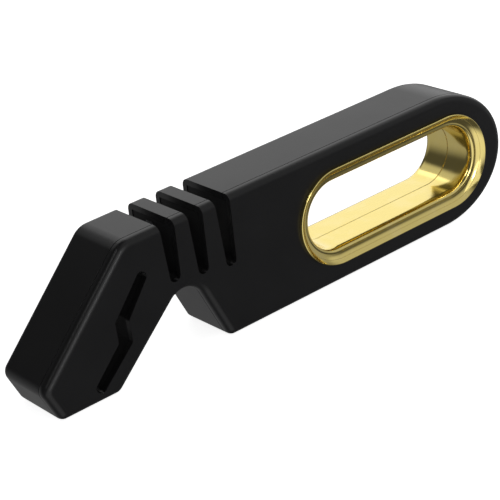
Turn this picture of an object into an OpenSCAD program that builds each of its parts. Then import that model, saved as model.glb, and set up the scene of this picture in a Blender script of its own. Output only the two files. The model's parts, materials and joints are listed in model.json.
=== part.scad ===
/* [Body] */
// Height of the body, from the table to the top of the handle
body_h = 50; // [46:1:60]
// Width of the body across its two faces
body_w = 26.2; // [24:0.2:34]
// Distance from the nose to the middle of the round handle end
handle_x = 178.3; // [178:1:215]
// Length of the rounded handle end
end_len = 30.6; // [27:0.2:37]
// Wall of both shells
wall = 2.2; // [1.8:0.1:2.6]
// Radius of the soft edge round each face
edge_r = 2.75; // [2:0.05:2.8]
// Depth of the side cover, from its face to the seam
cover_d = 4; // [3.2:0.1:6]

/* [Head] */
// Slope of the sloping front face
front_slope = 44.5; // [43:0.5:46]
// Slope of the head's back face, over the arch
back_slope = 41.6; // [40:0.4:42]
// Slope of the nose facet and of the arch's leg
facet_slope = 67.8; // [66:0.2:70]
// Distance from the nose to the corner where the front face meets the top
brow_x = 37.8; // [36:0.2:38.4]
// Height of the nose corner
nose_h = 12.5; // [11:0.5:13]
// Distance from the nose to the heel of the head
heel_x = 28.1; // [27:0.1:29]
// Distance from the nose to the foot of the arch's leg
leg_x = 74.4; // [73.5:0.1:76]
// Radius of the arch's crown
crown_r = 7.9; // [6:0.1:9]

/* [Knife slots] */
// Distance from the nose to the middle of the first knife slot
slot_x = 55.9; // [55.4:0.1:56.2]
// Distance between knife slots
slot_pitch = 11.5; // [10.6:0.1:11.8]
// Width of a knife slot at the top of the body
slot_top_w = 6.2; // [5.6:0.1:6.4]
// Width of a knife slot above its round bottom
slot_low_w = 4.3; // [4.2:0.1:4.6]
// Height of the bottom of the first knife slot
slot_floor = 29.1; // [28.8:0.1:31]
// How much lower each next slot reaches
slot_drop = 1.85; // [0:0.05:2]
// Lean of each abrasive from upright
abrasive_lean = 20; // [17:1:21]
// Diameter of the abrasive rods
rod_d = 2.2; // [1.8:0.1:2.4]
// Height of the crossing of the abrasives above the slot's bottom
cross_rise = 6; // [5:0.5:7]

/* [Scissor slot] */
// Width of the scissor slot's two slanted lanes
lane_w = 4.1; // [3.6:0.1:4.3]
// Swing of the scissor rocker to each side
rocker_swing = 6; // [3:1:7]
// Diameter of the rocker's pivot pin
pin_d = 2.5; // [2:0.1:2.8]
// Diameter of the scissor rods
scissor_rod_d = 2; // [1.6:0.1:2.2]

/* [Grip ring] */
// Distance from the nose to the middle of the ring
ring_x = 154.1; // [154:0.5:190]
// Distance between the centres of the ring's round ends
ring_run = 54.2; // [50:0.2:66]
// Radius of the round ends of the grip hole
grip_r = 12.5; // [12:0.1:12.9]
// Width of the ring's face, from the grip hole to its outer edge
ring_face = 5.5; // [5.1:0.1:5.9]
// How far the ring stands out of the face
ring_proud = 1.3; // [0.8:0.1:1.8]

/* [Fasteners] */
// Diameter of a case screw's shank
screw_d = 2.5; // [2.2:0.1:2.8]
// Diameter of a case screw's head
screw_head_d = 4.6; // [4.2:0.1:4.8]

/* [Hidden] */

// Clearances
play = 0.02;        // a piece pressed or glued in its hole
slide_play = 0.05;  // a piece that turns, or drops into its pocket
gap = 0.15;         // between neighbouring mouldings
past = 1;           // how far a cut runs past a face

// Levels across the body, from the near face at -Y to the far face at +Y
near_y = -body_w / 2;
far_y = body_w / 2;
seam_y = near_y + cover_d;
inner_y = far_y - wall;
ring_r = grip_r + ring_face;

// Side outline of the body: x from the nose, z from the table
top_r = 8;
nose_r = 4;
foot_r = 3;
heel_r = 4;
arc_steps = 9;
end_steps = 44;

function unit(v) = v / norm(v);
function slope_x(x, z, slope, height) = x + (height - z) / tan(slope);
// Where the line up from a at slope sa meets the line up from b at slope sb
function crossing(a, sa, b, sb) =
    let (x = (b[1] - a[1] + a[0] * tan(sa) - b[0] * tan(sb)) / (tan(sa) - tan(sb)))
    [x, a[1] + (x - a[0]) * tan(sa)];
// A corner b between a and c, rounded to radius r
function rounded_corner(a, b, c, r, steps) =
    let (
        u = unit(a - b),
        v = unit(c - b),
        half = acos(u * v) / 2,
        centre = b + unit(u + v) * r / sin(half),
        p = b + u * r / tan(half),
        turn = (u[0] * v[1] - u[1] * v[0] > 0 ? -1 : 1) * (180 - 2 * half),
        start = atan2(p[1] - centre[1], p[0] - centre[0])
    )
    [for (i = [0:steps]) centre + r * [cos(start + turn * i / steps), sin(start + turn * i / steps)]];
// An outline through corners [x, z, radius]
function rounded_outline(corners, steps) =
    let (n = len(corners), flat = [for (c = corners) [c[0], c[1]]])
    [for (i = [0:n - 1])
        each rounded_corner(flat[(i + n - 1) % n], flat[i], flat[(i + 1) % n], corners[i][2], steps)];
// The same outline moved inwards by d
function side_normal(a, b) = let (e = unit(b - a)) [e[1], -e[0]];
function inset(points, d) =
    let (n = len(points))
    [for (i = [0:n - 1])
        let (
            before = side_normal(points[(i + n - 1) % n], points[i]),
            after = side_normal(points[i], points[(i + 1) % n]),
            out = unit(before + after)
        )
        points[i] - out * d / (out * before)];

brow = [brow_x, body_h];
nose = [slope_x(brow[0], brow[1], front_slope, nose_h), nose_h];
chin = [slope_x(nose[0], nose[1], -facet_slope, 0), 0];
heel = [heel_x, 0];
leg = [leg_x, 0];
arch = crossing(heel, back_slope, leg, -facet_slope);
end_c = [handle_x, body_h / 2];

// The first point sees the whole outline, so a face is a fan of triangles round it
outline = concat(
    [[arch[0], body_h]],
    rounded_corner([handle_x, body_h], brow, nose, top_r, arc_steps),
    rounded_corner(brow, nose, chin, nose_r, arc_steps),
    rounded_corner(nose, chin, heel, foot_r, arc_steps),
    rounded_corner(chin, heel, arch, heel_r, arc_steps),
    rounded_corner(heel, arch, leg, crown_r, arc_steps),
    rounded_corner(arch, leg, [handle_x, 0], foot_r, arc_steps),
    [for (i = [0:end_steps])
        let (t = 180 * i / end_steps - 90)
        end_c + [end_len * cos(t), body_h / 2 * sin(t)]]
);
xs = [for (p = outline) p[0]];
mid_x = (min(xs) + max(xs)) / 2;

// Knife slots
stages = 3;
block_gap = 0.25;                     // how much wider a stage block's slot is
block_floor = 1.2;
rib_t = 1.6;
block_end = 0.1;                      // from a stage block's end to the wall
block_w = slot_pitch - 2 * gap;
block_top = body_h - wall - gap;
block_len = 2 * (inner_y - block_end);
abrasive_side = 0.46;                 // from an abrasive's upper end to its block's side
abrasive_up = (block_w / 2 - rod_d / 2 * cos(abrasive_lean) - abrasive_side) / sin(abrasive_lean);
abrasive_down = 6.8;                  // reach below it
plate_t = 1.5;
plate_w = 3.6;
function stage_x(i) = slot_x + slot_pitch * i;
function stage_floor(i) = slot_floor - slot_drop * i;
function block_low(i) = stage_floor(i) - block_gap - block_floor;
function slot_half(floor_z, z) =
    slot_low_w / 2 + (slot_top_w - slot_low_w) / 2 * (z - floor_z - slot_low_w / 2) / (body_h - slot_floor);
function slot_outline(x, floor_z, grow) =
    let (r = slot_low_w / 2 + grow, top_z = body_h + past, half = slot_half(floor_z, top_z) + grow)
    concat(
        [[x - half, top_z]],
        [for (i = [0:arc_steps])
            let (t = 180 + 180 * i / arc_steps)
            [x, floor_z - grow + r] + r * [cos(t), sin(t)]],
        [[x + half, top_z]]
    );

// Scissor slot: two slanted lanes joined by an upright jog
jog_x = 32.9;
jog_w = 5.4;
jog_top = 24.9;
jog_low = 17.4;
lane_slope = 47.5;
upper_end = [43.6, 36.9];
lower_end = [20.2, 4.9];
lane_end_r = 1.9;
lane_past = 1;                        // how far a lane runs past its end's centre
jog_r = 1.4;
jog_step = 1.5;                       // how much lower the jog's right side turns
jog_skew = 0.2;                       // how far its two corners differ in that
function scissor_corners() =
    let (
        left = jog_x - jog_w / 2,
        right = jog_x + jog_w / 2,
        along = [cos(lane_slope), sin(lane_slope)],
        across = [-sin(lane_slope), cos(lane_slope)]
    )
    [
        concat(upper_end + along * lane_past + across * lane_w / 2, lane_end_r),
        [left, jog_top, jog_r],
        [left, jog_low, jog_r],
        concat(lower_end - along * lane_past + across * lane_w / 2, lane_end_r),
        concat(lower_end - along * lane_past - across * lane_w / 2, lane_end_r),
        [right, jog_low - jog_step - jog_skew, jog_r],
        [right, jog_top - jog_step + jog_skew, jog_r],
        concat(upper_end + along * lane_past - across * lane_w / 2, lane_end_r)
    ];
function scissor_outline(grow) = inset(rounded_outline(scissor_corners(), arc_steps), -grow);
channel_gap = 0.3;
channel_wall = 1.05;
pivot = [21, 21.5];
rocker_half = 3.7;
window_y = rocker_half + 0.4;
hub_r = pin_d / 2 + 2.15;
cheek_t = 2;
arm_gap = 1.2;                        // from the rocker's arm to the jog
arm_face = jog_x - jog_w / 2 - arm_gap;
swing_room = (jog_x - pivot[0]) * sin(rocker_swing);
window_low = jog_low - 2.76 - swing_room;
window_high = jog_top + 4.76 + swing_room;
rod_slope = -20;
rod_reach = 2.2;
rod_back = 9.4;
upper_rod = [32.8, 24.2];
lower_rod = [32.8, 18.3];
spring_x = 17;
spring_low = 7.4;
spring_high = 16.6;
spring_t = 0.3;
spring_w = 5;
post_wall = 1;
post_top = 10;
post_half = 1.5;
tail_low = 14;
tail_half = 1.2;
tail_root = [2, -2];                  // half the width of the tail where it leaves the hub
arm_back = [[3, -3.4], [0, -2.5], [-1.5, 2.5], [0.4, 7], [2.6, 8.4]];
arm_over = 3.7;
arm_under = 0.5;

// Grip ring
ring_z = body_h / 2;
tube_wall = 1.3;
tube_draft = 0.25;
lip_over = 1.6;                       // how far the ring's face covers the shell round its hole
hole_r = ring_r - lip_over;
collar_t = 1.4;
flange_under = 1.4;
rim_top = 0.6;                        // height at which the rim turns in, as a share of how far it stands out
rim_in = 0.4;
dish_steps = 6;                       // the face slopes down from the rim into the hole
dish_bend = 1.3;
valley_w = 0.3;
valley_deep = 1;
bead_h = 0.15;
roll_w = 1.5;                         // the rounded way from the face into the hole
roll_deep = 4;
roll_steps = 9;
neck = 0.8;
ring_seam = 0.03;
tongue_w = 6;
tongue_past = 5;
loop_d = 2.5;
snap_room = hole_r - grip_r - tube_wall - 3 * gap;
tongue_t = snap_room * 0.5;
loop_wall = snap_room * 0.4;
ring_ends = [ring_x - ring_run / 2, ring_x + ring_run / 2];

// Case screws: places of the posts, from the nose
screw_clear = 0.2;
post_r = screw_head_d / 2 + screw_clear + 0.9;
boss_r = post_r - 0.5;
pilot_past = 0.4;
drive_w = 0.9;
drive_d = 1;
drive_span = screw_head_d * 0.6;
meet_y = -3;
head_seat = 1;
head_t = 1.8;
shank_end = near_y + wall + 0.7;
end_post_turn = 39;
end_post = (hole_r + post_r + gap) * [cos(end_post_turn), sin(end_post_turn)];
fore_post_x = ring_ends[0] - ring_r - 11.5;
post_edge = 9.6;                      // from the table or the top to a fore post's axis
nose_post = [10.5, 11];
head_post = [43.5, 23.5];
posts = [
    nose_post,
    head_post,
    [fore_post_x, post_edge],
    [fore_post_x, body_h - post_edge],
    [ring_ends[1], ring_z] + [end_post[0], -end_post[1]],
    [ring_ends[1], ring_z] + end_post
];

// Feet
pad_t = 1.2;
pad_low = seam_y + 1.5;
pad_high = far_y - edge_r - 1;
front_pad_x = [8.5, 24.5];
rear_pad_x = [leg_x + 9, handle_x - 9];
pad_r = 3;

shell_black = [0.09, 0.09, 0.095];
stage_black = [0.13, 0.13, 0.14];
rubber_black = [0.05, 0.05, 0.05];
rocker_grey = [0.2, 0.2, 0.21];
gold = [0.86, 0.74, 0.36];
steel = [0.72, 0.72, 0.74];
carbide = [0.35, 0.35, 0.37];
diamond = [0.45, 0.45, 0.44];
ceramic = [0.93, 0.93, 0.9];

// A side profile extruded across the body
module across(y0, y1) {
    translate([0, y1, 0]) rotate([90, 0, 0]) linear_extrude(y1 - y0) children();
}

// A round bar along Y
module bar_y(place, r, y0, y1) {
    translate([place[0], y1, place[1]]) rotate([90, 0, 0]) cylinder(r = r, h = y1 - y0, $fn = 48);
}

// One rounded half of the body: full size at the seam, soft at its face
module soft_slab(face_y, open_y) {
    steps = 6;
    n = len(outline);
    way = sign(face_y - open_y);
    rings = concat(
        [for (i = [0:steps])
            let (t = 90 * i / steps)
            [edge_r * (1 - sin(t)), face_y - way * edge_r * (1 - cos(t))]],
        [[0, open_y]]
    );
    ordered = way < 0 ? rings : [for (i = [len(rings) - 1:-1:0]) rings[i]];
    last = len(ordered) - 1;
    points = [for (ring = ordered) each [for (p = inset(outline, ring[0])) [p[0], ring[1], p[1]]]];
    sides = [for (k = [0:last - 1]) for (i = [0:n - 1])
        let (j = (i + 1) % n)
        each [[k * n + i, k * n + j, (k + 1) * n + j], [k * n + i, (k + 1) * n + j, (k + 1) * n + i]]];
    polyhedron(points, concat(
        sides,
        [[for (i = [0:n - 1]) (n - i) % n]],
        [[for (i = [0:n - 1]) last * n + i]]
    ), convexity = 10);
}

module slot_cuts(y0, y1) {
    for (i = [0:stages - 1])
        across(y0, y1) polygon(slot_outline(stage_x(i), stage_floor(i), 0));
}

module stadium(r) {
    for (x = ring_ends)
        translate([x, ring_z]) circle(r, $fn = 96);
    translate([ring_ends[0], ring_z - r]) square([ring_run, 2 * r]);
}

module pad_outline(span, grow) {
    r = pad_r + grow;
    y0 = pad_low + pad_r;
    y1 = pad_high - pad_r;
    for (x = [span[0] + pad_r, span[1] - pad_r], y = [y0, y1])
        translate([x, y]) circle(r, $fn = 32);
    translate([span[0] - grow, y0]) square([span[1] - span[0] + 2 * grow, y1 - y0]);
    translate([span[0] + pad_r, y0 - r]) square([span[1] - span[0] - 2 * pad_r, y1 - y0 + 2 * r]);
}

module main_shell() {
    color(shell_black)
    translate([-mid_x, 0, 0])
    difference() {
        union() {
            difference() {
                soft_slab(far_y, seam_y);
                across(seam_y - past, inner_y) polygon(inset(outline, wall));
            }
            // screw posts
            for (p = posts) bar_y(p, post_r, meet_y, inner_y + wall / 2);
            // ribs that the stage blocks rest on
            intersection() {
                across(seam_y + gap, inner_y + wall / 2) polygon(inset(outline, wall / 2));
                for (i = [0:stages - 1])
                    translate([stage_x(i) - rib_t / 2, seam_y, 0])
                        cube([rib_t, body_w, block_low(i) - slide_play]);
            }
            // collar round the grip ring's hole
            across(inner_y - wall, inner_y + wall / 2)
                difference() {
                    stadium(hole_r + collar_t);
                    stadium(hole_r);
                }
        }
        slot_cuts(seam_y - past, far_y + past);
        across(seam_y - past, far_y + past) polygon(scissor_outline(0));
        across(seam_y - past, far_y + past) stadium(hole_r);
        for (p = posts) {
            bar_y(p, screw_d / 2 + screw_clear, meet_y - past, far_y);
            bar_y(p, screw_head_d / 2 + screw_clear, head_seat, far_y + past);
        }
        for (span = [front_pad_x, rear_pad_x])
            translate([0, 0, -past]) linear_extrude(pad_t + past) pad_outline(span, gap);
    }
}

module side_cover() {
    color(shell_black)
    translate([-mid_x, 0, 0])
    difference() {
        union() {
            difference() {
                soft_slab(near_y, seam_y - play);
                across(near_y + wall, seam_y + past) polygon(inset(outline, wall));
            }
            // screw bosses
            intersection() {
                for (p = posts) bar_y(p, boss_r, near_y + wall / 2, meet_y - slide_play);
                across(near_y, meet_y) polygon(inset(outline, wall + gap));
            }
        }
        slot_cuts(near_y - past, seam_y + past);
        across(near_y - past, seam_y + past) polygon(scissor_outline(0));
        across(near_y - past, seam_y + past) stadium(hole_r);
        for (p = posts) bar_y(p, screw_d / 2 + play, shank_end - pilot_past, meet_y + past);
    }
}

module case_screws() {
    color(steel)
    translate([-mid_x, 0, 0])
    for (p = posts)
        difference() {
            union() {
                bar_y(p, screw_d / 2, shank_end, head_seat + head_t / 2);
                bar_y(p, screw_head_d / 2, head_seat, head_seat + head_t);
            }
            // cross recess
            translate([p[0], head_seat + head_t, p[1]]) {
                cube([drive_span, 2 * drive_d, drive_w], center = true);
                cube([drive_w, 2 * drive_d, drive_span], center = true);
            }
        }
}

module foot_pad(span) {
    color(rubber_black)
    translate([-mid_x, 0, 0])
    linear_extrude(pad_t - slide_play) pad_outline(span, 0);
}

module front_pad() { foot_pad(front_pad_x); }

module rear_pad() { foot_pad(rear_pad_x); }

// Ring section: u out from the middle of the round end, w out of the face
function ring_section() =
    let (
        depth = body_w / 2 - ring_seam,
        outer_u = grip_r + tube_wall,
        crest = [ring_r - rim_in, ring_proud],
        valley = [grip_r + roll_w + valley_w, -valley_deep]
    )
    concat(
        [[ring_r, 0], [ring_r, ring_proud * rim_top]],
        [for (i = [0:dish_steps])
            let (t = i / dish_steps)
            [crest[0] + (valley[0] - crest[0]) * t,
             crest[1] + (valley[1] - crest[1]) * (1 - pow(1 - t, dish_bend))]],
        [for (i = [0:roll_steps])
            let (t = 90 + 90 * i / roll_steps)
            [grip_r + roll_w * (1 + cos(t)), -roll_deep + (roll_deep - valley_deep + bead_h) * sin(t)]],
        [
            [grip_r - tube_draft, -depth],
            [outer_u, -depth],
            [outer_u, -roll_deep - neck],
            [hole_r - gap - neck, -flange_under - neck],
            [hole_r - gap, -flange_under],
            [hole_r - gap, 0]
        ]
    );

// The section carried round the stadium, in a frame whose +Z leaves the face
module ring_body() {
    for (side = [0, 1])
        translate([ring_ends[side] - ring_x, 0, 0])
            rotate([0, 0, 90 + 180 * (1 - side) - 180])
                rotate_extrude(angle = 180, $fn = 96) polygon(ring_section());
    for (flip = [0, 1])
        rotate([0, 0, 180 * flip])
            translate([-ring_run / 2, 0, 0])
                rotate([90, 0, 90]) linear_extrude(ring_run) polygon(ring_section());
}

tongue_u = grip_r + tube_wall + gap;
tongue_x = [-ring_run / 4, ring_run / 4];

module ring_near() {
    color(gold)
    translate([ring_x - mid_x, near_y, ring_z])
    rotate([90, 0, 0])
    {
        ring_body();
        for (x = tongue_x, flip = [0, 1])
            rotate([0, 0, 180 * flip])
                translate([x - tongue_w / 2, tongue_u, -body_w / 2 - tongue_past]) {
                    cube([tongue_w, tongue_t, tongue_past + body_w / 2 - flange_under]);
                    translate([0, -gap, tongue_past + past])
                        cube([tongue_w, tongue_t, body_w / 2 - flange_under - past]);
                }
    }
}

module ring_far() {
    color(gold)
    translate([ring_x - mid_x, far_y, ring_z])
    rotate([-90, 0, 0])
    {
        ring_body();
        // keepers that the near half's tongues snap through
        for (x = tongue_x, flip = [0, 1])
            rotate([0, 0, 180 * flip])
                translate([x, grip_r + tube_wall - play, -body_w / 2 + past])
                    difference() {
                        translate([-tongue_w / 2 - loop_wall - gap, 0, 0])
                            cube([tongue_w + 2 * loop_wall + 2 * gap, tongue_t + loop_wall + gap, loop_d]);
                        translate([-tongue_w / 2 - gap, -past, -past])
                            cube([tongue_w + 2 * gap, tongue_t + past + 1.5 * gap, loop_d + 2 * past]);
                    }
    }
}

// Place of an abrasive, on its own axis; side is -1 for left and 1 for right
module on_lean(i, side) {
    translate([stage_x(i), 0, stage_floor(i) + cross_rise])
        rotate([0, side * abrasive_lean, 0])
            children();
}

module rod_shape(side, grow, y) {
    translate([0, side * y, -abrasive_down - grow])
        cylinder(d = rod_d + 2 * grow, h = abrasive_up + abrasive_down + 2 * grow, $fn = 48);
}

module plate_shape(side, grow) {
    translate([0, side * (plate_w / 2 + gap), (abrasive_up - abrasive_down) / 2])
        cube([plate_t + 2 * grow, plate_w + 2 * grow, abrasive_up + abrasive_down + 2 * grow], center = true);
}

rod_y = rod_d / 2 + 0.2;  // the crossed rods pass each other

module stage_block(i) {
    color(stage_black)
    translate([-mid_x, 0, 0])
    difference() {
        intersection() {
            translate([stage_x(i) - block_w / 2, -block_len / 2, block_low(i)])
                cube([block_w, block_len, block_top - block_low(i)]);
            across(-block_len, block_len) polygon(inset(outline, wall + gap / 2));
        }
        across(-block_len, block_len) polygon(slot_outline(stage_x(i), stage_floor(i), block_gap));
        for (side = [-1, 1])
            on_lean(i, side)
                if (i == 0) plate_shape(side, play);
                else rod_shape(side, play, rod_y);
    }
}

module coarse_block() { stage_block(0); }

module medium_block() { stage_block(1); }

module fine_block() { stage_block(2); }

module plate(side) {
    color(carbide)
    translate([-mid_x, 0, 0]) on_lean(0, side) plate_shape(side, 0);
}

module coarse_plate_left() { plate(-1); }

module coarse_plate_right() { plate(1); }

module stage_rod(i, side, tint) {
    color(tint)
    translate([-mid_x, 0, 0]) on_lean(i, side) rod_shape(side, 0, rod_y);
}

module medium_rod_left() { stage_rod(1, -1, diamond); }

module medium_rod_right() { stage_rod(1, 1, diamond); }

module fine_rod_left() { stage_rod(2, -1, ceramic); }

module fine_rod_right() { stage_rod(2, 1, ceramic); }

// Place of a scissor rod, on its own axis
module on_rod(place) {
    translate([place[0], 0, place[1]]) rotate([0, 90 - rod_slope, 0]) children();
}

module scissor_rod_shape(grow) {
    translate([0, 0, -rod_back - grow])
        cylinder(d = scissor_rod_d + 2 * grow, h = rod_back + rod_reach + 2 * grow, $fn = 48);
}

module scissor_block() {
    color(stage_black)
    translate([-mid_x, 0, 0])
    difference() {
        union() {
            intersection() {
                across(-block_len / 2, block_len / 2)
                    polygon(scissor_outline(channel_gap + channel_wall));
                across(-block_len, block_len) polygon(inset(outline, wall + gap));
            }
            // cheeks that carry the pivot pin
            for (side = [-1, 1])
                translate([0, side * (window_y + cheek_t / 2), 0]) {
                    bar_y(pivot, hub_r, -cheek_t / 2, cheek_t / 2);
                    across(-cheek_t / 2, cheek_t / 2)
                        translate([pivot[0], pivot[1] - hub_r])
                            square([jog_x - jog_w / 2 - pivot[0], 2 * hub_r]);
                }
            // post that grips the spring
            across(-spring_w / 2 - post_wall, spring_w / 2 + post_wall)
                translate([spring_x - post_half, spring_low - post_wall])
                    square([2 * post_half + post_wall, post_top - spring_low + post_wall]);
        }
        across(-block_len, block_len) polygon(scissor_outline(channel_gap));
        // window through which the rocker reaches the slot
        across(-window_y, window_y)
            translate([pivot[0] + hub_r, window_low])
                square([jog_x - pivot[0] - hub_r, window_high - window_low]);
        bar_y(pivot, pin_d / 2 + play, -block_len, block_len);
        across(-spring_w / 2 - play, spring_w / 2 + play)
            translate([spring_x - spring_t / 2 - play, spring_low - play])
                square([spring_t + 2 * play, post_top]);
    }
}

module scissor_rocker() {
    color(rocker_grey)
    translate([-mid_x, 0, 0])
    difference() {
        union() {
            bar_y(pivot, hub_r, -rocker_half, rocker_half);
            // arm that carries the rods
            across(-rocker_half, rocker_half)
                polygon(concat(
                    [for (p = arm_back) pivot + p],
                    [[arm_face, upper_rod[1] + arm_over], [arm_face, lower_rod[1] - arm_under]]
                ));
            // tail that the spring holds
            across(-rocker_half, rocker_half)
                polygon([
                    pivot - tail_root, pivot + tail_root, [spring_x + tail_half, tail_low],
                    [spring_x - tail_half, tail_low]
                ]);
        }
        bar_y(pivot, pin_d / 2 + slide_play, -block_len, block_len);
        on_rod(upper_rod) scissor_rod_shape(play);
        on_rod(lower_rod) scissor_rod_shape(play);
        across(-spring_w / 2 - slide_play, spring_w / 2 + slide_play)
            translate([spring_x - spring_t / 2 - slide_play, tail_low - past])
                square([spring_t + 2 * slide_play, spring_high - tail_low + past + slide_play]);
    }
}

module rocker_pin() {
    color(steel)
    translate([-mid_x, 0, 0])
    bar_y(pivot, pin_d / 2, -window_y - cheek_t, window_y + cheek_t);
}

module rocker_spring() {
    color(steel)
    translate([-mid_x, 0, 0])
    across(-spring_w / 2, spring_w / 2)
        translate([spring_x - spring_t / 2, spring_low]) square([spring_t, spring_high - spring_low]);
}

module upper_scissor_rod() {
    color(ceramic)
    translate([-mid_x, 0, 0]) on_rod(upper_rod) scissor_rod_shape(0);
}

module lower_scissor_rod() {
    color(ceramic)
    translate([-mid_x, 0, 0]) on_rod(lower_rod) scissor_rod_shape(0);
}

main_shell();
side_cover();
case_screws();
front_pad();
rear_pad();
ring_near();
ring_far();
coarse_block();
coarse_plate_left();
coarse_plate_right();
medium_block();
medium_rod_left();
medium_rod_right();
fine_block();
fine_rod_left();
fine_rod_right();
scissor_block();
scissor_rocker();
rocker_pin();
rocker_spring();
upper_scissor_rod();
lower_scissor_rod();
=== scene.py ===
"""Looks of a hand-held knife and scissor sharpener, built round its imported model.

Lengths in the tables are in millimetres, with x from the nose and z from the table; at() turns them into the
frame's metres. The near side is -y, where the cover is, and the far side is +y, where the screws go in.
"""

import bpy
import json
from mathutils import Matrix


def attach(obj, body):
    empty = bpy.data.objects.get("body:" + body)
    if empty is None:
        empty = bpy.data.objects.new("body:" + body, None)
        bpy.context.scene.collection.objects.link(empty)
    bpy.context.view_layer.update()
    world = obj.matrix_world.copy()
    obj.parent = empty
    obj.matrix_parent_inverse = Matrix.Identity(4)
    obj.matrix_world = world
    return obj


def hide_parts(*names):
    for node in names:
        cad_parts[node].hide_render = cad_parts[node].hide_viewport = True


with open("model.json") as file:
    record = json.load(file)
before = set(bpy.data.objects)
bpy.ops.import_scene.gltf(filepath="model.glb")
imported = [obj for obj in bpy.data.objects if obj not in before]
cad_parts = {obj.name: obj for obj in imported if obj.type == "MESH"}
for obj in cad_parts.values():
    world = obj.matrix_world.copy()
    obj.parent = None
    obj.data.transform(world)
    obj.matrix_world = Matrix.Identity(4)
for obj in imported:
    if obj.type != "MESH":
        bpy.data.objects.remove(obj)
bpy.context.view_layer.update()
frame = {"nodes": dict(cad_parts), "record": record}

import json
import math

import bmesh
import bpy
from mathutils import Matrix, Vector

MM = 0.001
MID_X = 104.6285  # half the body's length: the frame's origin, from the nose

# ---------------------------------------------------------------- sizes shared with the moulding
BODY_H = 50.0
NEAR_Y, FAR_Y = -13.1, 13.1
SEAM_Y, SEAM_GAP = -9.1, 0.18
WALL = 2.2
EDGE_R, EDGE_STEPS = 2.75, 10
HANDLE_X, END_LEN = 178.3, 30.6
BROW, NOSE_Z = (37.8, BODY_H), 12.5
FRONT_SLOPE, BACK_SLOPE, FACET_SLOPE = 44.5, 41.6, 67.8
HEEL, LEG = (28.1, 0.0), (74.4, 0.0)
TOP_R, NOSE_R, FOOT_R, HEEL_R, CROWN_R = 8.0, 4.0, 3.0, 4.0, 7.9
SLOT_X, SLOT_PITCH = 55.9, 11.5
SLOT_FLOOR, SLOT_DROP = 29.1, 1.85
SLOT_LOW_W, SLOT_TOP_W = 4.3, 6.2
JOG_X, JOG_W, JOG_TOP, JOG_LOW, JOG_R = 32.9, 5.4, 24.9, 17.4, 1.4
LANE_SLOPE, LANE_W, LANE_END_R = 47.5, 4.1, 1.9
UPPER_END, LOWER_END = (43.6, 36.9), (20.2, 4.9)
RING_X, RING_RUN, RING_Z = 154.1, 54.2, 25.0
RING_R, GRIP_R, RING_PROUD = 18.0, 12.5, 1.3
HOLE_R, TUBE_WALL = 16.4, 1.3
RING_ENDS = (RING_X - RING_RUN / 2, RING_X + RING_RUN / 2)
SCREW_D, SCREW_HEAD_D, HEAD_SEAT, HEAD_T = 2.5, 4.6, 1.0, 1.8
SCREW_PLAY, PILOT_PLAY, PILOT_PAST = 0.2, 0.02, 0.4
DRIVE_ARM, DRIVE_HALF, DRIVE_DEEP = SCREW_HEAD_D * 0.3, 0.45, 1.0
POST_R, BOSS_R, MEET_Y, MEET_GAP, SHANK_END = 3.4, 2.9, -3.0, 0.05, -10.2
END_TURN = math.radians(39)
END_REACH = HOLE_R + POST_R + 0.15
POSTS = (
    (10.5, 11.0), (43.5, 23.5), (97.5, 9.6), (97.5, 40.4),
    (RING_ENDS[1] + END_REACH * math.cos(END_TURN), RING_Z - END_REACH * math.sin(END_TURN)),
    (RING_ENDS[1] + END_REACH * math.cos(END_TURN), RING_Z + END_REACH * math.sin(END_TURN)),
)
PADS = (("front_pad", 8.5, 24.5), ("rear_pad", 83.4, 169.3))
PAD_Y, PAD_T, PAD_R, PAD_GAP, PAD_LIFT = (-7.6, 9.35), 1.2, 3.0, 0.15, 0.05

# ---------------------------------------------------------------- sizes of the finer shaping
SEAM_SOFT, MOUTH_SOFT, POINT_SOFT, HEAD_SOFT, FOOT_SOFT = 0.1, 0.24, 0.5, 0.6, 0.3
MOUTH_CLEAR = 0.5
SAME_SPOT = 1e-7
PAST = 1.0  # how far a cutting tool reaches past what it cuts

SKIN, CUT, HOLLOW = 0, 1, 2  # the shells' finishes: outer skin, walls of the cuts, inside


def at(x, y, z):
    """A place given from the nose and the table, as a point of the frame."""
    return Vector(((x - MID_X) * MM, y * MM, z * MM))


# ---------------------------------------------------------------- side outlines
def unit(v):
    return v / v.length


def meeting(a, slope_a, b, slope_b):
    """Where the line up from a meets the line up from b."""
    ta, tb = math.tan(math.radians(slope_a)), math.tan(math.radians(slope_b))
    x = (b[1] - a[1] + a[0] * ta - b[0] * tb) / (ta - tb)
    return x, a[1] + (x - a[0]) * ta


def down(p, slope, z):
    """The point at height z on the line through p."""
    return p[0] + (z - p[1]) / math.tan(math.radians(slope)), z


def rounded(corners, steps):
    """An outline through corners (x, z, radius), each an arc of that radius."""
    flat = [Vector(c[:2]) for c in corners]
    points = []
    for i, (_, _, r) in enumerate(corners):
        b = flat[i]
        u, v = unit(flat[i - 1] - b), unit(flat[(i + 1) % len(flat)] - b)
        half = math.acos(u.dot(v)) / 2
        centre = b + unit(u + v) * r / math.sin(half)
        start = b + u * r / math.tan(half) - centre
        turn = (math.pi - 2 * half) * (-1 if u.x * v.y - u.y * v.x > 0 else 1)
        points += [centre + Matrix.Rotation(turn * k / steps, 2) @ start for k in range(steps + 1)]
    return points


def inset(points, d):
    """The outline moved inwards by d; it runs anticlockwise."""
    moved = []
    for i, p in enumerate(points):
        before, after = unit(p - points[i - 1]), unit(points[(i + 1) % len(points)] - p)
        out_a, out_b = Vector((before.y, -before.x)), Vector((after.y, -after.x))
        out = unit(out_a + out_b)
        moved.append(p - out * d / out.dot(out_a))
    return moved


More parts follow.
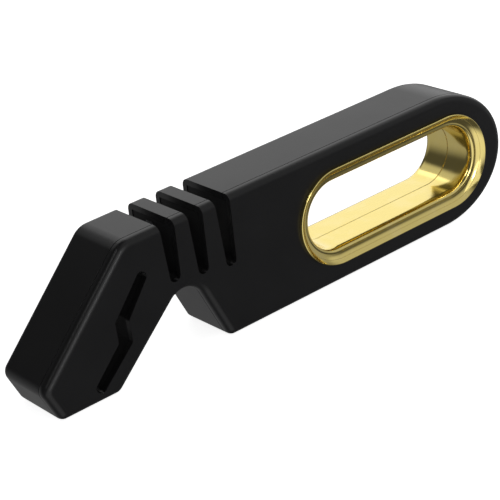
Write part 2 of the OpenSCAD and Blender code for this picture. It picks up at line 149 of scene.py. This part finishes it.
def body_outline(steps=12, end_steps=72):
    nose = down(BROW, FRONT_SLOPE, NOSE_Z)
    chin = down(nose, -FACET_SLOPE, 0)
    arch = meeting(HEEL, BACK_SLOPE, LEG, -FACET_SLOPE)
    corners = [
        (HANDLE_X, BODY_H), (*BROW, TOP_R), (*nose, NOSE_R), (*chin, FOOT_R), (*HEEL, HEEL_R),
        (*arch, CROWN_R), (*LEG, FOOT_R), (HANDLE_X, 0),
    ]
    bends = rounded([(c[0], c[1], c[2] if len(c) > 2 else 1.0) for c in corners], steps)
    bends = bends[steps + 1 : -(steps + 1)]
    end = []
    for k in range(end_steps + 1):
        t = math.pi * k / end_steps - math.pi / 2
        end.append(Vector((HANDLE_X + END_LEN * math.cos(t), BODY_H / 2 * (1 + math.sin(t)))))
    return bends + end


def slot_outline(i, steps=16):
    """One knife slot: straight, slightly flared sides over a round bottom."""
    x, floor, r = SLOT_X + SLOT_PITCH * i, SLOT_FLOOR - SLOT_DROP * i, SLOT_LOW_W / 2
    top = BODY_H + PAST
    half = r + (SLOT_TOP_W / 2 - r) * (top - floor - r) / (BODY_H - SLOT_FLOOR)
    bottom = [
        Vector((x + r * math.cos(t), floor + r + r * math.sin(t)))
        for t in (math.pi * (1 + k / steps) for k in range(steps + 1))
    ]
    return [Vector((x - half, top))] + bottom + [Vector((x + half, top))]


def scissor_outline(steps=10):
    """The stepped scissor slot: two slanted lanes joined by an upright jog."""
    along = Vector((math.cos(math.radians(LANE_SLOPE)), math.sin(math.radians(LANE_SLOPE))))
    aside = Vector((-along.y, along.x)) * LANE_W / 2
    high, low = Vector(UPPER_END) + along, Vector(LOWER_END) - along
    left, right = JOG_X - JOG_W / 2, JOG_X + JOG_W / 2
    corners = [
        (*(high + aside), LANE_END_R), (left, JOG_TOP, JOG_R), (left, JOG_LOW, JOG_R),
        (*(low + aside), LANE_END_R), (*(low - aside), LANE_END_R),
        (right, JOG_LOW - 1.7, JOG_R), (right, JOG_TOP - 1.3, JOG_R), (*(high - aside), LANE_END_R),
    ]
    return rounded(corners, steps)


def stadium(r, steps=40):
    points = []
    for k in range(2 * steps + 2):
        end = k <= steps
        t = math.pi * (k - (0 if end else 1)) / steps - math.pi / 2
        centre = Vector((RING_ENDS[1] if end else RING_ENDS[0], RING_Z))
        points.append(centre + r * Vector((math.cos(t), math.sin(t))))
    return points


def ring_of(centre, r, steps=32):
    turn = 2 * math.pi / steps
    return [Vector(centre) + r * Vector((math.cos(turn * k), math.sin(turn * k))) for k in range(steps)]


# ---------------------------------------------------------------- modelling tools
def alone(*pieces):
    bpy.ops.object.select_all(action="DESELECT")
    for piece in pieces:
        piece.select_set(True)
    bpy.context.view_layer.objects.active = pieces[0]


class Editing:
    """Edit mode on one piece, with nothing selected."""

    def __init__(self, piece, mode="EDGE"):
        self.piece, self.mode = piece, mode

    def __enter__(self):
        alone(self.piece)
        bpy.ops.object.mode_set(mode="EDIT")
        bpy.ops.mesh.select_mode(type=self.mode)
        bpy.ops.mesh.select_all(action="DESELECT")
        return self

    def __exit__(self, *_):
        bpy.ops.object.mode_set(mode="OBJECT")

    def select(self, kind, test):
        """Selects what the test accepts, of verts, edges or faces, and says how many."""
        bpy.ops.mesh.select_all(action="DESELECT")
        bm = bmesh.from_edit_mesh(self.piece.data)
        chosen = [e for e in getattr(bm, kind) if test(e)]
        for e in chosen:
            e.select_set(True)
        bmesh.update_edit_mesh(self.piece.data)
        return len(chosen)


def outwards():
    bpy.ops.mesh.select_all(action="SELECT")
    bpy.ops.mesh.normals_make_consistent(inside=False)


def near_level(v, y):
    return abs(v.co.y - y * MM) < SAME_SPOT


def slab(name, points, y0, y1, part=SKIN):
    """A flat plate with this outline, from y0 to y1 across the body."""
    bpy.ops.object.select_all(action="DESELECT")
    bpy.ops.mesh.primitive_circle_add(vertices=len(points), radius=MM, fill_type="NGON")
    piece = bpy.context.object
    piece.name = piece.data.name = name
    for v, p in zip(piece.data.vertices, points):
        v.co = at(p[0], y0, p[1])
    with Editing(piece, "FACE"):
        bpy.ops.mesh.select_all(action="SELECT")
        bpy.ops.mesh.extrude_region_move(TRANSFORM_OT_translate={"value": (0, (y1 - y0) * MM, 0)})
        outwards()
    for _ in (SKIN, CUT, HOLLOW):
        piece.data.materials.append(None)
    for face in piece.data.polygons:
        face.material_index = part
    return piece


def joined(pieces):
    alone(*pieces)
    if len(pieces) > 1:
        bpy.ops.object.join()
    return bpy.context.object


def carve(piece, tool, how="DIFFERENCE"):
    alone(piece)
    bpy.ops.object.modifier_add(type="BOOLEAN")
    mod = piece.modifiers[-1]
    mod.operation, mod.solver, mod.object, mod.material_mode = how, "EXACT", tool, "INDEX"
    bpy.ops.object.modifier_apply(modifier=mod.name)
    bpy.data.objects.remove(tool)


def soften(piece, width, segments, test):
    """Rounds the edges that the test accepts."""
    with Editing(piece) as edit:
        if edit.select("edges", test):
            bpy.ops.mesh.bevel(offset=width * MM, segments=segments, profile=0.5, clamp_overlap=False)


def shade(piece, angle=32):
    """Smooth within an angle, with flat faces kept flat."""
    alone(piece)
    bpy.ops.object.shade_smooth_by_angle(angle=math.radians(angle))
    bpy.ops.object.modifier_add(type="WEIGHTED_NORMAL")
    mod = piece.modifiers[-1]
    mod.mode, mod.weight, mod.keep_sharp = "FACE_AREA", 50, True
    bpy.ops.object.modifier_apply(modifier=mod.name)


def fitted(piece, body, replaced, slot, *finishes):
    """Gives a finished piece its materials and its body, and hides the nodes it stands for."""
    piece.data.materials.clear()
    for finish in finishes:
        piece.data.materials.append(finish)
    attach(piece, body)
    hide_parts(*replaced)
    return piece


# ---------------------------------------------------------------- finishes
class Wire:
    """A value in a finish, so that its maths can be written as sums."""

    def __init__(self, finish, socket):
        self.finish, self.socket = finish, socket

    def maths(self, how, *terms):
        made = self.finish.node("ShaderNodeMath", {"operation": how}, dict(enumerate(terms)))
        return Wire(self.finish, made.outputs[0])

    def __add__(self, other):
        return self.maths("ADD", self, other)

    __radd__ = __add__

    def __mul__(self, other):
        return self.maths("MULTIPLY", self, other)

    __rmul__ = __mul__

    def __sub__(self, other):
        return self.maths("SUBTRACT", self, other)

    def __rsub__(self, other):
        return self.maths("SUBTRACT", other, self)

    def above(self, low, high):
        """0 below low, 1 above high, and a smooth climb between."""
        made = self.finish.node(
            "ShaderNodeMapRange", {"interpolation_type": "SMOOTHSTEP"},
            {"Value": self, "From Min": low, "From Max": high},
        )
        return Wire(self.finish, made.outputs["Result"])


class Finish:
    """One surface finish: a Principled shader fed by procedural patterns."""

    def __init__(self, name, **constants):
        self.material = bpy.data.materials.new(name)
        self.material.use_nodes = True
        self.tree = self.material.node_tree
        self.tree.nodes.clear()
        named = {self.label(key): value for key, value in constants.items()}
        self.shader = self.node("ShaderNodeBsdfPrincipled", {}, named)
        self.node("ShaderNodeOutputMaterial", {}, {"Surface": self.shader.outputs[0]})
        self.place = self.node("ShaderNodeTexCoord").outputs["Object"]

    @staticmethod
    def label(key):
        """A socket's label, from its name in Python."""
        return key.replace("_", " ").title().replace("Ior", "IOR")

    def node(self, kind, settings=None, sockets=None):
        made = self.tree.nodes.new(kind)
        for key, value in (settings or {}).items():
            setattr(made, key, value)
        for key, value in (sockets or {}).items():
            value = value.socket if isinstance(value, Wire) else value
            if isinstance(value, bpy.types.NodeSocket):
                self.tree.links.new(value, made.inputs[key])
            else:
                made.inputs[key].default_value = value
        return made

    def stretched(self, x, y, z):
        """The place on the piece, scaled along each way to draw a pattern out."""
        made = self.node("ShaderNodeMapping", {}, {"Vector": self.place, "Scale": (x, y, z)})
        return made.outputs[0]

    def noise(self, scale, detail=2.0, rough=0.5, place=None):
        made = self.node(
            "ShaderNodeTexNoise", {},
            {"Vector": place or self.place, "Scale": scale, "Detail": detail, "Roughness": rough},
        )
        return Wire(self, made.outputs["Fac"])

    def cells(self, scale):
        made = self.node("ShaderNodeTexVoronoi", {}, {"Vector": self.place, "Scale": scale})
        return Wire(self, made.outputs["Distance"])

    def blend(self, amount, a, b):
        made = self.node("ShaderNodeMix", {"data_type": "RGBA"}, {"Factor": amount, 6: (*a, 1), 7: (*b, 1)})
        return made.outputs[2]

    def feed(self, **sockets):
        for key, value in sockets.items():
            value = value.socket if isinstance(value, Wire) else value
            self.tree.links.new(value, self.shader.inputs[self.label(key)])
        return self

    def bump(self, height, strength, depth):
        """Relief from a pattern; the depth is in millimetres."""
        made = self.node(
            "ShaderNodeBump", {}, {"Height": height, "Strength": strength, "Distance": depth * MM}
        )
        self.tree.links.new(made.outputs[0], self.shader.inputs["Normal"])
        return self


def black_moulding(name, spark, rough, tone):
    """Black ABS from a spark-eroded mould, with faint handling marks."""
    made = Finish(name, specular_ior_level=0.36)
    spark_grain = made.noise(spark, 3.0, 0.6)
    cloud = made.noise(55.0, 2.0)
    scuff = made.noise(420.0, 3.0, 0.6, made.stretched(1.0, 2.6, 0.5)).above(0.66, 0.8)
    dark, light = tone, tuple(1.7 * c for c in tone)
    made.feed(
        base_color=made.blend(cloud * 0.5 + scuff * 0.35, dark, light),
        roughness=rough + (cloud - 0.5) * 0.07 + (spark_grain - 0.5) * 0.1 - scuff * 0.05,
    )
    return made.bump(spark_grain, 0.16, 0.03).material


def gold_plating():
    """Pale gold plating on a moulding: bright, with the moulding's slow waviness."""
    made = Finish("pale_gold_plating", metallic=1.0)
    wave = made.noise(38.0, 1.5, 0.4)
    fine = made.noise(900.0, 3.0, 0.6)
    haze = made.noise(140.0, 3.0, 0.55).above(0.45, 0.75)
    made.feed(
        base_color=made.blend(haze * 0.6, (0.94, 0.77, 0.27), (0.98, 0.82, 0.36)),
        roughness=0.13 + haze * 0.06 + (fine - 0.5) * 0.04,
    )
    return made.bump(wave + fine * 0.04, 0.28, 0.25).material


def nylon(name, tone):
    """Matt glass-filled nylon: short pale fibres under a dull skin."""
    made = Finish(name, specular_ior_level=0.3)
    fibres = made.noise(1500.0, 2.0, 0.5, made.stretched(0.25, 1.0, 1.0)).above(0.62, 0.8)
    mottle = made.noise(160.0, 3.0)
    made.feed(
        base_color=made.blend(mottle * 0.4 + fibres * 0.5, tone, tuple(2.0 * c for c in tone)),
        roughness=0.56 + mottle * 0.16,
    )
    return made.bump(fibres * 0.5 + mottle, 0.2, 0.05).material


def rubber():
    """Non-slip rubber with a fine pebble grain and dust in it."""
    made = Finish("pebbled_rubber", specular_ior_level=0.25)
    pebble = made.cells(900.0)
    dust = made.noise(230.0, 4.0, 0.65).above(0.55, 0.8)
    made.feed(
        base_color=made.blend(dust * 0.5, (0.012, 0.012, 0.012), (0.045, 0.043, 0.04)),
        roughness=0.78 + dust * 0.15,
    )
    return made.bump(pebble, 0.5, 0.12).material


def ground_metal(name, tone, rough, lines, place=(1.0, 1.0, 0.03)):
    """Metal with fine grinding or drawing lines along one way."""
    made = Finish(name, metallic=1.0)
    line = made.noise(lines, 3.0, 0.6, made.stretched(*place))
    stain = made.noise(210.0, 3.0)
    made.feed(
        base_color=made.blend(line * 0.5 + stain * 0.4, tuple(0.72 * c for c in tone), tone),
        roughness=rough + (line - 0.5) * 0.2 + stain * 0.06,
    )
    return made.bump(line, 0.3, 0.02).material


def diamond_grit():
    """Diamond grit in a nickel bond: sharp grains that glint."""
    made = Finish("diamond_grit", specular_ior_level=0.5)
    grain = made.cells(5200.0)
    patch = made.noise(600.0, 3.0, 0.6)
    glint = (1 - grain).above(0.72, 0.9)
    made.feed(
        base_color=made.blend(glint * 0.7 + patch * 0.2, (0.11, 0.11, 0.11), (0.6, 0.6, 0.58)),
        metallic=0.9 - glint * 0.5,
        roughness=0.62 - glint * 0.35,
    )
    return made.bump(1 - grain, 0.8, 0.06).material


def fine_ceramic():
    """Fine white alumina, slightly granular, with faint grey steel marks."""
    made = Finish("fine_ceramic", specular_ior_level=0.45)
    grain = made.noise(2600.0, 3.0, 0.6)
    marks = made.noise(260.0, 3.0, 0.6, made.stretched(1.0, 1.0, 0.3)).above(0.62, 0.82)
    made.feed(
        base_color=made.blend(marks * 0.45 + grain * 0.1, (0.86, 0.85, 0.8), (0.5, 0.5, 0.49)),
        roughness=0.42 + grain * 0.14,
    )
    return made.bump(grain, 0.25, 0.03).material


BLACK = black_moulding("satin_black_abs", 2600.0, 0.33, (0.0042, 0.0042, 0.0045))
# The slot walls and the shell's inside are the same ABS in darker tones: painted shade in the cuts and the
# hollow.
SHADED_BLACK_CUT = black_moulding("black_abs_slot_wall_painted_shade", 1900.0, 0.46, (0.0028, 0.0028, 0.003))
SHADED_BLACK_IN = black_moulding("black_abs_inside_painted_shade", 1200.0, 0.55, (0.003, 0.003, 0.0032))
GOLD = gold_plating()
STAGE_NYLON = nylon("black_glass_nylon", (0.004, 0.004, 0.0043))
ROCKER_NYLON = nylon("grey_glass_nylon", (0.014, 0.014, 0.0145))
RUBBER = rubber()
CARBIDE = ground_metal("ground_carbide", (0.3, 0.3, 0.32), 0.34, 1800.0)
ZINC = ground_metal("zinc_screw", (0.62, 0.62, 0.64), 0.3, 1400.0, (1.0, 0.1, 1.0))
PIN_STEEL = ground_metal("drawn_pin_steel", (0.66, 0.66, 0.68), 0.22, 1500.0, (1.0, 0.05, 1.0))
SPRING_STEEL = ground_metal("blued_spring_steel", (0.26, 0.29, 0.36), 0.3, 1300.0)
GRIT = diamond_grit()
CERAMIC = fine_ceramic()

# ---------------------------------------------------------------- shells
OUTLINE = body_outline()


def openings(y0, y1, bored=False):
    """Everything that is cut through a shell from y0 to y1, as one set of separate tools."""
    tools = [slab("slot_tool", slot_outline(i), y0, y1, CUT) for i in range(3)]
    tools.append(slab("scissor_tool", scissor_outline(), y0, y1, CUT))
    tools.append(slab("grip_tool", stadium(HOLE_R), y0, y1, CUT))
    if bored:
        for post in POSTS:
            narrow, wide = (ring_of(post, d / 2 + SCREW_PLAY) for d in (SCREW_D, SCREW_HEAD_D))
            shank = slab("shank_tool", narrow, MEET_Y - PAST, HEAD_SEAT + PAST, CUT)
            carve(shank, slab("sink_tool", wide, HEAD_SEAT, y1, CUT), "UNION")
            tools.append(shank)
    return joined(tools)


def mouth(edge):
    """An edge where a slot or a screw hole leaves the outer skin, but not the ring's own hole."""
    parts = {face.material_index for face in edge.link_faces}
    if parts != {SKIN, CUT}:
        return False
    middle = (edge.verts[0].co + edge.verts[1].co) / 2
    x, z = middle.x / MM + MID_X, middle.z / MM
    dx = max(RING_ENDS[0] - x, 0, x - RING_ENDS[1])
    return math.hypot(dx, z - RING_Z) > HOLE_R + MOUTH_CLEAR


def half_body(name, face_y, seam_y, wall_y, posts_from, posts_to, post_r):
    """One shell: a slab with a soft rim, hollowed, with its screw posts."""
    piece = slab(name, OUTLINE, face_y, seam_y)
    on_face = lambda e: all(near_level(v, face_y) for v in e.verts)
    on_seam = lambda e: all(near_level(v, seam_y) for v in e.verts)
    soften(piece, EDGE_R, EDGE_STEPS, on_face)
    soften(piece, SEAM_SOFT, 2, on_seam)
    past = math.copysign(PAST, seam_y - face_y)
    low, high = sorted((wall_y, seam_y + past))
    carve(piece, slab("hollow_tool", inset(OUTLINE, WALL), low, high, HOLLOW))
    posts = [slab("post_tool", ring_of(p, post_r), posts_from, posts_to, HOLLOW) for p in POSTS]
    carve(piece, joined(posts), "UNION")
    return piece


def finish_shell(piece, node):
    soften(piece, MOUTH_SOFT, 2, mouth)
    with Editing(piece):
        bpy.ops.mesh.select_all(action="SELECT")
        bpy.ops.mesh.remove_doubles(threshold=SAME_SPOT)
    shade(piece)
    return fitted(piece, "case", [node], "body_black", BLACK, SHADED_BLACK_CUT, SHADED_BLACK_IN)


cover = half_body(
    "cover_shell", NEAR_Y, SEAM_Y - SEAM_GAP, NEAR_Y + WALL, NEAR_Y + WALL / 2, MEET_Y - MEET_GAP, BOSS_R
)
carve(cover, openings(NEAR_Y - PAST, SEAM_Y + PAST))
pilots = []
for post in POSTS:
    bore = ring_of(post, SCREW_D / 2 + PILOT_PLAY)
    pilots.append(slab("pilot_tool", bore, SHANK_END - PILOT_PAST, MEET_Y + PAST, CUT))
carve(cover, joined(pilots))
finish_shell(cover, "side_cover")

shell = half_body("handle_shell", FAR_Y, SEAM_Y, FAR_Y - WALL, MEET_Y, FAR_Y - WALL / 2, POST_R)
carve(shell, openings(SEAM_Y - PAST, FAR_Y + PAST, bored=True))


def pad_outline(x0, x1, grow, steps=8):
    """A rectangle with round corners, seen from below: (x, y) in millimetres."""
    y0, y1 = PAD_Y
    spots = ((x1, y0), (x1, y1), (x0, y1), (x0, y0))
    points = []
    for q, (x, y) in enumerate(spots):
        centre = Vector((x - math.copysign(PAD_R, x - x0 - 1), y - math.copysign(PAD_R, y - y0 - 1)))
        for k in range(steps + 1):
            t = math.pi / 2 * (q - 1 + k / steps)
            points.append(centre + (PAD_R + grow) * Vector((math.cos(t), math.sin(t))))
    return points


def upright(name, points, z0, z1, part=SKIN):
    """A plate with this plan, from z0 up to z1."""
    piece = slab(name, points, z0, z1, part)
    for v in piece.data.vertices:
        v.co = v.co.xzy
    with Editing(piece, "FACE"):
        outwards()
    return piece


recesses = [upright("recess_tool", pad_outline(x0, x1, PAD_GAP), -PAST, PAD_T, CUT) for _, x0, x1 in PADS]
carve(shell, joined(recesses))
finish_shell(shell, "main_shell")

# ---------------------------------------------------------------- grip ring
RIM_IN, RIM_TOP = 0.4, 0.6
ROLL_W, ROLL_DEEP = 1.5, 4.0
VALLEY_U, VALLEY_DEEP, BEAD_H, DISH_BEND = GRIP_R + 1.8, 1.0, 0.15, 1.7
NECK, UNDER = 0.8, 1.4
RIM_FOOT, RING_PLAY, LINER_DRAFT, LINER_BEVEL, SEAM_HALF = 0.12, 0.15, 0.24, (0.1, 0.22), 0.03
RIM_STEPS, DISH_STEPS, ROLL_STEPS, END_STEPS = 6, 16, 24, 56


def ring_section():
    """One half of the ring, cut across, as (u from the middle of a round end, w out of the body's face).

    It has a proud rim, a face that slopes down to a valley, a rounded roll into the hole, and a thin liner.
    """
    depth = -NEAR_Y - SEAM_HALF
    low_rim = RING_PROUD * RIM_TOP
    points = [(RING_R - RIM_FOOT, 0.0), (RING_R, RIM_FOOT), (RING_R, low_rim)]
    for k in range(1, RIM_STEPS + 1):
        t = math.pi / 2 * k / RIM_STEPS
        points.append((RING_R - RIM_IN * (1 - math.cos(t)), low_rim + (RING_PROUD - low_rim) * math.sin(t)))
    for k in range(1, DISH_STEPS + 1):
        t = k / DISH_STEPS
        u = RING_R - RIM_IN + (VALLEY_U - RING_R + RIM_IN) * t
        points.append((u, RING_PROUD - (RING_PROUD + VALLEY_DEEP) * (1 - (1 - t) ** DISH_BEND)))
    rise = ROLL_DEEP - VALLEY_DEEP + BEAD_H
    for k in range(ROLL_STEPS + 1):
        t = math.pi / 2 * (1 + k / ROLL_STEPS)
        points.append((GRIP_R + ROLL_W * (1 + math.cos(t)), -ROLL_DEEP + rise * math.sin(t)))
    inner, outer, flank = GRIP_R - LINER_DRAFT, GRIP_R + TUBE_WALL, HOLE_R - RING_PLAY
    lip, run_in = LINER_BEVEL
    points += [(inner, run_in - depth), (GRIP_R - lip, -depth), (outer, -depth), (outer, -ROLL_DEEP - NECK)]
    return points + [(flank - NECK, -UNDER - NECK), (flank, -UNDER), (flank, 0.0)]


def ring_half(name, face_y, node):
    """The section carried round the ring: half a turn, a straight run, half a turn and back."""
    out = math.copysign(1, face_y)
    points = ring_section()
    bpy.ops.object.select_all(action="DESELECT")
    bpy.ops.mesh.primitive_circle_add(vertices=len(points), radius=MM, fill_type="NOTHING")
    piece = bpy.context.object
    piece.name = piece.data.name = name
    for v, (u, w) in zip(piece.data.vertices, points):
        v.co = at(RING_ENDS[1], face_y + out * w, RING_Z + u)
    run = RING_RUN * MM
    with Editing(piece, "EDGE"):
        bpy.ops.mesh.select_all(action="SELECT")
        for end, way in ((RING_ENDS[1], -1), (RING_ENDS[0], 1)):
            centre = at(end, 0, RING_Z)
            bpy.ops.mesh.spin(steps=END_STEPS, angle=-math.pi, center=centre, axis=(0, 1, 0))
            bpy.ops.mesh.extrude_region_move(TRANSFORM_OT_translate={"value": (way * run, 0, 0)})
        bpy.ops.mesh.select_all(action="SELECT")
        bpy.ops.mesh.remove_doubles(threshold=2e-6)
        outwards()
    shade(piece, 40)
    return fitted(piece, "case", [node], "gold_plate", GOLD)


ring_half("grip_ring_near", NEAR_Y, "ring_near")
ring_half("grip_ring_far", FAR_Y, "ring_far")

# ---------------------------------------------------------------- screws
screws = []
for px, pz in POSTS:
    body = slab("screw", ring_of((px, pz), SCREW_D / 2, 24), SHANK_END, HEAD_SEAT + HEAD_T / 2)
    soften(body, POINT_SOFT, 2, lambda e: all(near_level(v, SHANK_END) for v in e.verts))
    head = slab("screw_head", ring_of((px, pz), SCREW_HEAD_D / 2, 40), HEAD_SEAT, HEAD_SEAT + HEAD_T)
    soften(head, HEAD_SOFT, 5, lambda e: all(near_level(v, HEAD_SEAT + HEAD_T) for v in e.verts))
    carve(head, body, "UNION")
    cross = Vector((px, pz))
    arm, half = DRIVE_ARM, DRIVE_HALF
    plus = [(arm, half), (half, half), (half, arm), (-half, arm), (-half, half), (-arm, half)]
    plus += [(-x, -z) for x, z in plus]
    top = HEAD_SEAT + HEAD_T
    carve(head, slab("drive_tool", [cross + Vector(p) for p in plus], top - DRIVE_DEEP, top + PAST))
    screws.append(head)
screw_set = joined(screws)
screw_set.name = screw_set.data.name = "case_screw_set"
shade(screw_set, 35)
fitted(screw_set, "case", ["case_screws"], "screw_steel", ZINC)

# ---------------------------------------------------------------- feet
for node, x0, x1 in PADS:
    foot = upright(node + "_rubber", pad_outline(x0, x1, 0), 0, PAD_T - PAD_LIFT)
    soften(foot, FOOT_SOFT, 3, lambda e: all(v.co.z < SAME_SPOT for v in e.verts))
    shade(foot)
    fitted(foot, "case", [node], "pad_rubber", RUBBER)

# ---------------------------------------------------------------- inner pieces, from the model's own shapes
FLAT_ANGLE, CREASE_ANGLE = math.radians(1.5), math.radians(38)


def crisp_copy(node, name, width, finish, slot, segments=2):
    """The node's own shape with its loose triangles merged and its edges softened."""
    source = frame["nodes"][node]
    piece = bpy.data.objects.new(name, source.data.copy())
    bpy.context.scene.collection.objects.link(piece)
    piece.data.name = name
    with Editing(piece):
        bpy.ops.mesh.select_all(action="SELECT")
        bpy.ops.mesh.remove_doubles(threshold=SAME_SPOT)
        bpy.ops.mesh.dissolve_limited(angle_limit=FLAT_ANGLE)
    if width:
        alone(piece)
        bpy.ops.object.modifier_add(type="BEVEL")
        mod = piece.modifiers[-1]
        mod.width, mod.segments, mod.use_clamp_overlap = width * MM, segments, True
        mod.limit_method, mod.angle_limit = "ANGLE", CREASE_ANGLE
        bpy.ops.object.modifier_apply(modifier=mod.name)
    shade(piece)
    body = next(b for b, names in frame["record"]["behaviour"]["bodies"].items() if node in names)
    return fitted(piece, body, [node], slot, finish)


for stage in ("coarse", "medium", "fine"):
    crisp_copy(stage + "_block", stage + "_insert", 0.12, STAGE_NYLON, "stage_black")
crisp_copy("scissor_block", "scissor_insert", 0, STAGE_NYLON, "stage_black")
crisp_copy("scissor_rocker", "rocker_arm", 0.15, ROCKER_NYLON, "rocker_grey")
for side in ("left", "right"):
    crisp_copy("coarse_plate_" + side, "carbide_blade_" + side, 0.12, CARBIDE, "carbide")
    crisp_copy("medium_rod_" + side, "diamond_rod_" + side, 0.2, GRIT, "diamond_grit", 3)
    crisp_copy("fine_rod_" + side, "ceramic_rod_" + side, 0.25, CERAMIC, "ceramic_white", 3)
for level in ("upper", "lower"):
    crisp_copy(level + "_scissor_rod", level + "_scissor_stick", 0.2, CERAMIC, "ceramic_white", 3)
crisp_copy("rocker_pin", "pivot_pin", 0.2, PIN_STEEL, "pin_steel", 3)
crisp_copy("rocker_spring", "return_spring", 0.06, SPRING_STEEL, "spring_steel", 1)

# ---------------------------------------------------------------- table top, light and camera
bpy.ops.object.select_all(action="DESELECT")
bpy.ops.mesh.primitive_plane_add(size=12, location=(0, 0, -0.0002))
floor = bpy.context.object
floor.name = "table_top"
pale = Finish(
    "pale_table", roughness=0.9, specular_ior_level=0.0, emission_color=(1, 1, 1, 1), emission_strength=0.85
)
grain = pale.noise(3.0, 2.0)
pale.feed(base_color=pale.blend(grain * 0.2, (0.9, 0.9, 0.9), (0.87, 0.87, 0.87)))
floor.data.materials.append(pale.material)
floor.visible_glossy = floor.visible_shadow = False

scene = bpy.context.scene
scene.view_settings.view_transform = "Standard"


class Air(Finish):
    """The studio round the table: dim, with soft pale lobes where cards and table reflect."""

    def __init__(self, name):
        self.world = bpy.data.worlds.new(name)
        self.world.use_nodes = True
        self.tree = self.world.node_tree
        self.tree.nodes.clear()
        self.shader = self.node("ShaderNodeBackground", {}, {"Color": (1, 1, 1, 1)})
        self.node("ShaderNodeOutputWorld", {}, {"Surface": self.shader.outputs[0]})
        self.way = self.node("ShaderNodeTexCoord").outputs["Generated"]

    def lobe(self, way, low, high):
        """A round soft area about the direction way, from its rim's cosine to its full part's cosine."""
        along = {0: self.way, 1: unit(Vector(way))}
        made = self.node("ShaderNodeVectorMath", {"operation": "DOT_PRODUCT"}, along)
        return Wire(self, made.outputs["Value"]).above(low, high)


air = Air("studio_air")
air.feed(strength=(
    0.07
    + 0.75 * air.lobe((-0.42, -0.8, -0.4), 0.72, 0.93)
    + 0.28 * air.lobe((-0.38, 0.75, -0.5), 0.65, 0.97)
    + 0.5 * air.lobe((-0.08, 0.75, 0.66), 0.93, 0.99)
    + 0.42 * air.lobe((0.45, -0.5, 0.75), 0.7, 0.94)
    + 0.26 * air.lobe((0.93, -0.3, -0.1), 0.75, 0.95)
))
scene.world = air.world


def softbox(name, place, target, width, height, power):
    """A rectangular studio light that faces its target; sizes are in metres and power in watts."""
    data = bpy.data.lights.new(name, "AREA")
    data.shape, data.size, data.size_y, data.energy = "RECTANGLE", width, height, power
    lamp = bpy.data.objects.new(name, data)
    scene.collection.objects.link(lamp)
    lamp.location = place
    aim = Vector(target) - Vector(place)
    lamp.rotation_euler = aim.to_track_quat("-Z", "Y").to_euler()
    return lamp


MIDDLE = Vector((0, 0, 0.025))


def card(name, way, distance, width, height, glow):
    """A light panel seen from the sharpener in the direction way, as bright as glow times a white card."""
    way = unit(Vector(way))
    return softbox(name, MIDDLE + way * distance, MIDDLE, width, height, math.pi * width * height * glow)


card("back_softbox", (0.67, 0.6, 0.46), 1.3, 1.75, 1.5, 0.98)
card("key_light", (-0.15, -0.95, 0.27), 1.3, 0.2, 0.26, 9)
card("left_strip", (-0.62, -0.21, 0.76), 1.2, 0.14, 0.4, 4)
card("front_softbox", (-0.2, -0.92, 0.34), 1.32, 1.15, 1.0, 0.8)

camera_data = bpy.data.cameras.new("camera")
camera = bpy.data.objects.new("camera", camera_data)
scene.collection.objects.link(camera)
scene.camera = camera
camera_data.sensor_width, camera_data.lens = 36, 126.42
camera_data.clip_start, camera_data.clip_end = 0.01, 50
AZ, EL, ROLL = (math.radians(a) for a in (-35.56, 25.24, -8.66))
AIM = at(100, 0, 25)
OFFSET = Vector((-2.13, -5.55, 608.09)) * MM  # from AIM to the camera: to its right, up, and back
back = Vector((math.sin(AZ) * math.cos(EL), -math.cos(AZ) * math.cos(EL), math.sin(EL)))
level_right = unit(Vector((0, 0, 1)).cross(back))
level_up = back.cross(level_right)
right = level_right * math.cos(ROLL) + level_up * math.sin(ROLL)
up = back.cross(right)
turn = Matrix((right, up, back)).transposed()
camera.matrix_world = Matrix.Translation(AIM + turn @ OFFSET) @ turn.to_4x4()
